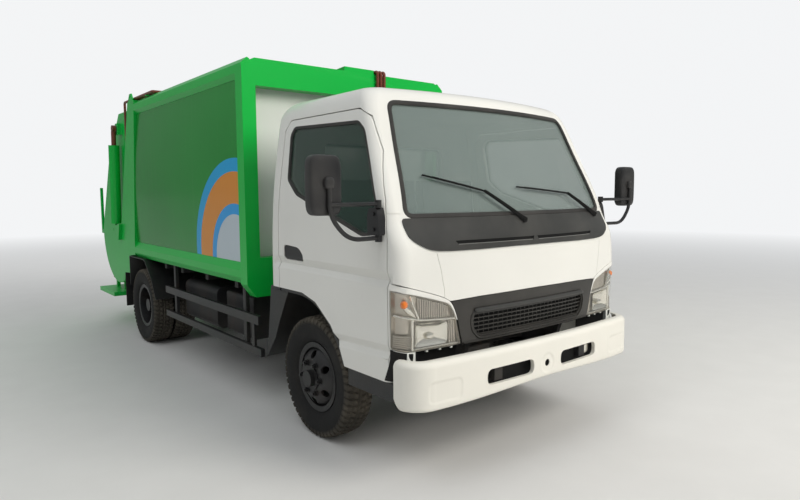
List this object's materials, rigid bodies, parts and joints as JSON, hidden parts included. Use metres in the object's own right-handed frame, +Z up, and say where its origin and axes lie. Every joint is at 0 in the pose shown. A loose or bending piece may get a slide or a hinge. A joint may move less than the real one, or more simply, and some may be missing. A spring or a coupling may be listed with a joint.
{
  "type": "rear loading garbage truck",
  "caption": "Rear loading garbage truck: tilting cab over the front axle, box body with ejector, lifting tailgate with packing blade, hopper and bin lifter.",
  "frame": {"origin": "on the ground, below the middle of the whole box", "axes": "+Z up, -Y the way the truck drives, +X its left side"},
  "size_m": [2.82, 6.55, 2.614],
  "materials": {
    "cab_paint": "gloss",
    "green_paint": "gloss",
    "side_green": "gloss",
    "dark_steel": "satin",
    "cast": "rough",
    "tyre": "matt",
    "wheel_steel": "satin",
    "glass": "clear",
    "black_plastic": "matt",
    "cowl_grey": "satin",
    "lamp_clear": "clear",
    "lamp_red": "gloss",
    "rod_chrome": "polished",
    "pipe_brown": "satin",
    "seat_cloth": "woven"
  },
  "bodies": {
    "chassis": {"chassis_frame": "dark_steel", "front_axle": "cast", "rear_axle": "cast", "drivetrain": "cast", "tanks": "dark_steel", "side_guards": "dark_steel", "mudguards": "black_plastic", "front_bumper": "cab_paint", "body_frame": "green_paint", "body_floor": "dark_steel", "body_sides": "side_green", "body_roof": "green_paint", "body_front_wall": "green_paint", "hydraulic_pipes": "pipe_brown"},
    "knuckle_right": {"knuckle_right": "dark_steel"},
    "knuckle_left": {"knuckle_left": "dark_steel"},
    "wheel_front_right": {"tyre_front_right": "tyre", "wheel_front_right": "wheel_steel"},
    "wheel_front_left": {"tyre_front_left": "tyre", "wheel_front_left": "wheel_steel"},
    "wheel_rear_right": {"tyres_rear_right": "tyre", "wheels_rear_right": "wheel_steel"},
    "wheel_rear_left": {"tyres_rear_left": "tyre", "wheels_rear_left": "wheel_steel"},
    "cab": {"cab_shell": "cab_paint", "cab_glass": "glass", "cowl_panel": "cowl_grey", "grille": "cowl_grey", "headlamps": "lamp_clear", "wipers": "black_plastic", "cab_steps": "black_plastic", "seats": "seat_cloth", "dashboard": "black_plastic"},
    "door_right": {"door_right": "cab_paint", "door_glass_right": "glass", "mirror_right": "black_plastic"},
    "door_left": {"door_left": "cab_paint", "door_glass_left": "glass", "mirror_left": "black_plastic"},
    "tailgate": {"tailgate_sides": "green_paint", "tailgate_roof": "green_paint", "hopper": "green_paint", "slide_barrels": "dark_steel", "foot_steps": "dark_steel", "tail_lamps": "lamp_red"},
    "carrier": {"packer_carrier": "green_paint", "slide_rods": "rod_chrome"},
    "blade": {"sweep_blade": "green_paint"},
    "sweep_barrel": {"sweep_barrels": "dark_steel"},
    "sweep_rod": {"sweep_rods": "rod_chrome"},
    "lift_barrel": {"lift_barrels": "green_paint"},
    "lift_rod": {"lift_rods": "rod_chrome"},
    "lifter": {"bin_lifter": "green_paint"},
    "ejector": {"ejector_panel": "dark_steel"}
  },
  "joints": [
    {"name": "steer_right", "type": "hinge", "parent": "chassis", "child": "knuckle_right", "pos_m": [-0.7, -2.165, 0.3875], "axis": [0, 0, 1], "range_deg": [-32, 32]},
    {"name": "steer_left", "type": "hinge", "parent": "chassis", "child": "knuckle_left", "pos_m": [0.7, -2.165, 0.3875], "axis": [0, 0, 1], "range_deg": [-32, 32]},
    {"name": "spin_front_right", "type": "hinge", "parent": "knuckle_right", "child": "wheel_front_right", "pos_m": [-0.8325, -2.165, 0.3875], "axis": [1, 0, 0], "continuous": true},
    {"name": "spin_front_left", "type": "hinge", "parent": "knuckle_left", "child": "wheel_front_left", "pos_m": [0.8325, -2.165, 0.3875], "axis": [1, 0, 0], "continuous": true},
    {"name": "spin_rear_right", "type": "hinge", "parent": "chassis", "child": "wheel_rear_right", "pos_m": [-0.775, 1.185, 0.3875], "axis": [1, 0, 0], "continuous": true},
    {"name": "spin_rear_left", "type": "hinge", "parent": "chassis", "child": "wheel_rear_left", "pos_m": [0.775, 1.185, 0.3875], "axis": [1, 0, 0], "continuous": true},
    {"name": "cab_tilt", "type": "hinge", "parent": "chassis", "child": "cab", "pos_m": [0, -3.035, 0.74], "axis": [1, 0, 0], "range_deg": [0, 45]},
    {"name": "door_right_hinge", "type": "hinge", "parent": "cab", "child": "door_right", "pos_m": [-0.981, -3.007, 1], "axis": [0, 0, 1], "range_deg": [0, 65]},
    {"name": "door_left_hinge", "type": "hinge", "parent": "cab", "child": "door_left", "pos_m": [0.981, -3.007, 1], "axis": [0, 0, -1], "range_deg": [0, 65]},
    {"name": "tailgate_lift", "type": "hinge", "parent": "chassis", "child": "tailgate", "pos_m": [0, 1.57, 2.572], "axis": [1, 0, 0], "range_deg": [0, 80]},
    {"name": "lift_barrel_turn", "type": "hinge", "parent": "chassis", "child": "lift_barrel", "pos_m": [0, 2.135, 1.15], "axis": [1, 0, 0], "range_deg": [0, 3.05]},
    {"name": "lift_rod_slide", "type": "slide", "parent": "lift_barrel", "child": "lift_rod", "axis": [0, -0.0608, 0.9982], "range_m": [0, 0.7365]},
    {"name": "packer_slide", "type": "slide", "parent": "tailgate", "child": "carrier", "axis": [0, 0.3268, -0.9451], "range_m": [0, 0.5]},
    {"name": "sweep_open", "type": "hinge", "parent": "carrier", "child": "blade", "pos_m": [0, 2.25157, 1.59254], "axis": [1, 0, 0], "range_deg": [0, 90]},
    {"name": "sweep_barrel_turn", "type": "hinge", "parent": "carrier", "child": "sweep_barrel", "pos_m": [0, 2.12863, 2.2907], "axis": [1, 0, 0], "range_deg": [0, 3.67]},
    {"name": "sweep_rod_slide", "type": "slide", "parent": "sweep_barrel", "child": "sweep_rod", "axis": [0, 0.3398, -0.9405], "range_m": [-0.28387, 0]},
    {"name": "bin_lift", "type": "hinge", "parent": "tailgate", "child": "lifter", "pos_m": [0, 3.165, 1.04], "axis": [1, 0, 0], "range_deg": [0, 130]},
    {"name": "eject", "type": "slide", "parent": "chassis", "child": "ejector", "axis": [0, 1, 0], "range_m": [0, 2.1]}
  ],
  "couplings": [
    {"joint": "steer_left", "follows": "steer_right", "ratio": 1},
    {"joint": "lift_barrel_turn", "follows": "tailgate_lift", "ratio": 0.037329},
    {"joint": "lift_rod_slide", "follows": "tailgate_lift", "m_per_rad": 0.51713},
    {"joint": "sweep_barrel_turn", "follows": "sweep_open", "ratio": 0.039949},
    {"joint": "sweep_rod_slide", "follows": "sweep_open", "m_per_rad": -0.17717}
  ]
}
